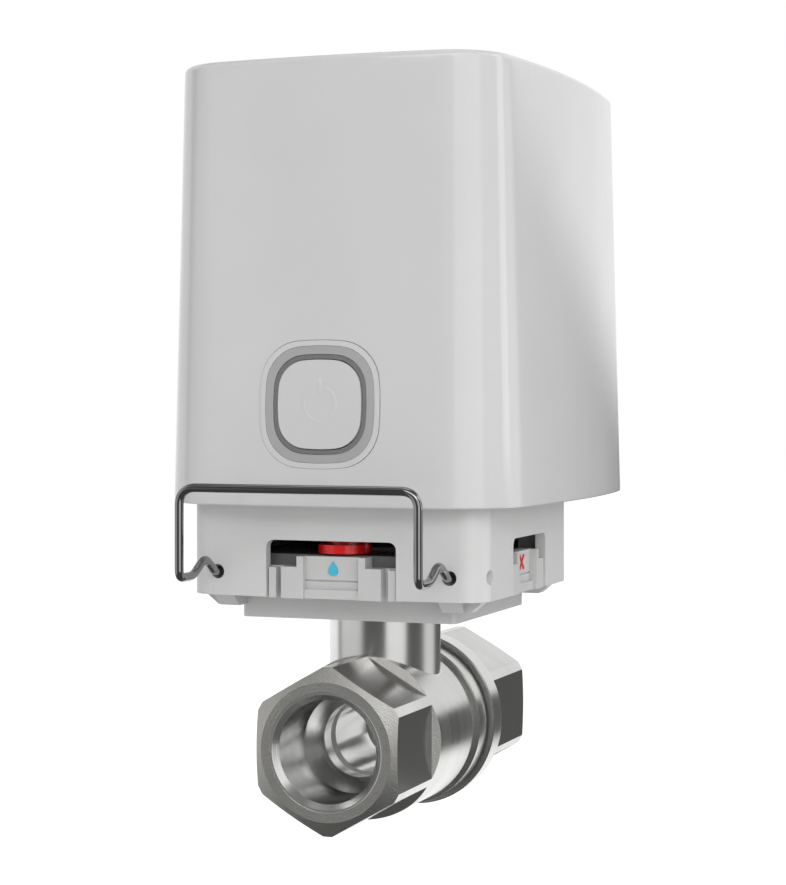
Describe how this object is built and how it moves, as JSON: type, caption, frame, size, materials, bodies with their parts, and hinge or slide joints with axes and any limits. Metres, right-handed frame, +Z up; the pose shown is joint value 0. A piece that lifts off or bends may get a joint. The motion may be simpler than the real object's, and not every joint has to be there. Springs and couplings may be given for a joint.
{
  "type": "smart water valve",
  "caption": "Motorised ball valve for a threaded water pipe: a boxy battery actuator with a push button sits on the valve neck and is locked by a pull-out wire clip.",
  "frame": {"origin": "on the pipe axis where the inlet thread wall starts, one millimetre inside the inlet face", "axes": "+X to the right seen from the front, +Y along the pipe from inlet to outlet, +Z up along the valve stem"},
  "size_m": [0.0718, 0.1026, 0.1404],
  "materials": {
    "nickel": "satin nickel plate",
    "polished": "polished",
    "ptfe": "smooth",
    "rubber": "matte",
    "brass": "turned",
    "white_satin": "fine satin",
    "white_gloss": "high gloss",
    "light_grey": "translucent grey",
    "seal_grey": "matte",
    "liner_grey": "matte",
    "black_plastic": "matte",
    "steel": "plain",
    "spring_steel": "polished wire",
    "red": "gloss",
    "red_mark": "printed",
    "blue_mark": "printed",
    "gear_ivory": "moulded",
    "board_green": "solder mask",
    "lamp": "clear lens",
    "cell": "printed sleeve",
    "chip": "moulded"
  },
  "bodies": {
    "housing": {"valve_body": "nickel", "end_cap": "nickel", "body_gasket": "rubber", "inlet_seat": "ptfe", "outlet_seat": "ptfe", "thrust_washer": "ptfe", "stem_packing": "ptfe", "gland_nut": "brass", "mounting_nut": "nickel", "valve_base": "white_satin", "base_liner": "liner_grey", "open_mark": "blue_mark", "closed_mark": "red_mark", "chassis": "white_satin", "cover": "white_gloss", "cover_gasket": "rubber", "cover_screws": "steel", "button_bezel": "white_gloss", "light_ring": "light_grey", "button_seal": "seal_grey", "tact_switch": "black_plastic", "status_leds": "lamp", "circuit_board": "board_green", "board_parts": "chip", "antenna": "brass", "battery_holder": "black_plastic", "battery_1": "cell", "battery_2": "cell", "battery_3": "cell", "battery_4": "cell", "battery_springs": "spring_steel", "battery_contacts": "brass", "motor": "steel", "gearhead": "brass", "gear_axle": "steel", "shaft_bush": "brass", "gear_plate": "steel", "gear_posts": "black_plastic", "gear_screws": "steel", "limit_switches": "black_plastic"},
    "drive": {"ball": "polished", "stem": "steel", "stem_orings": "rubber", "drive_shaft": "black_plastic", "output_gear": "gear_ivory", "position_pointer": "red"},
    "reduction": {"reduction_gear": "gear_ivory"},
    "pinion": {"motor_pinion": "brass"},
    "button": {"power_button": "white_gloss"},
    "clip": {"wire_clip": "spring_steel"}
  },
  "joints": [
    {"name": "valve_turn", "type": "hinge", "parent": "housing", "child": "drive", "pos_m": [0, 0.029, 0], "axis": [0, 0, 1], "range_deg": [0, 90]},
    {"name": "reduction_turn", "type": "hinge", "parent": "housing", "child": "reduction", "pos_m": [0.0098, 0.04597, 0.05], "axis": [0, 0, 1], "range_deg": [-275, 5]},
    {"name": "pinion_turn", "type": "hinge", "parent": "housing", "child": "pinion", "pos_m": [-0.0077, 0.04597, 0.055], "axis": [0, 0, 1], "range_deg": [-5, 700]},
    {"name": "button_press", "type": "slide", "parent": "housing", "child": "button", "axis": [0, 0.9997, -0.0245], "range_m": [0, 0.0012], "stiffness_N_per_m": 1500},
    {"name": "clip_pull", "type": "slide", "parent": "housing", "child": "clip", "axis": [0, -1, 0], "range_m": [0, 0.052]}
  ],
  "couplings": [
    {"joint": "reduction_turn", "follows": "valve_turn", "ratio": -3},
    {"joint": "pinion_turn", "follows": "valve_turn", "ratio": 7.7143}
  ]
}
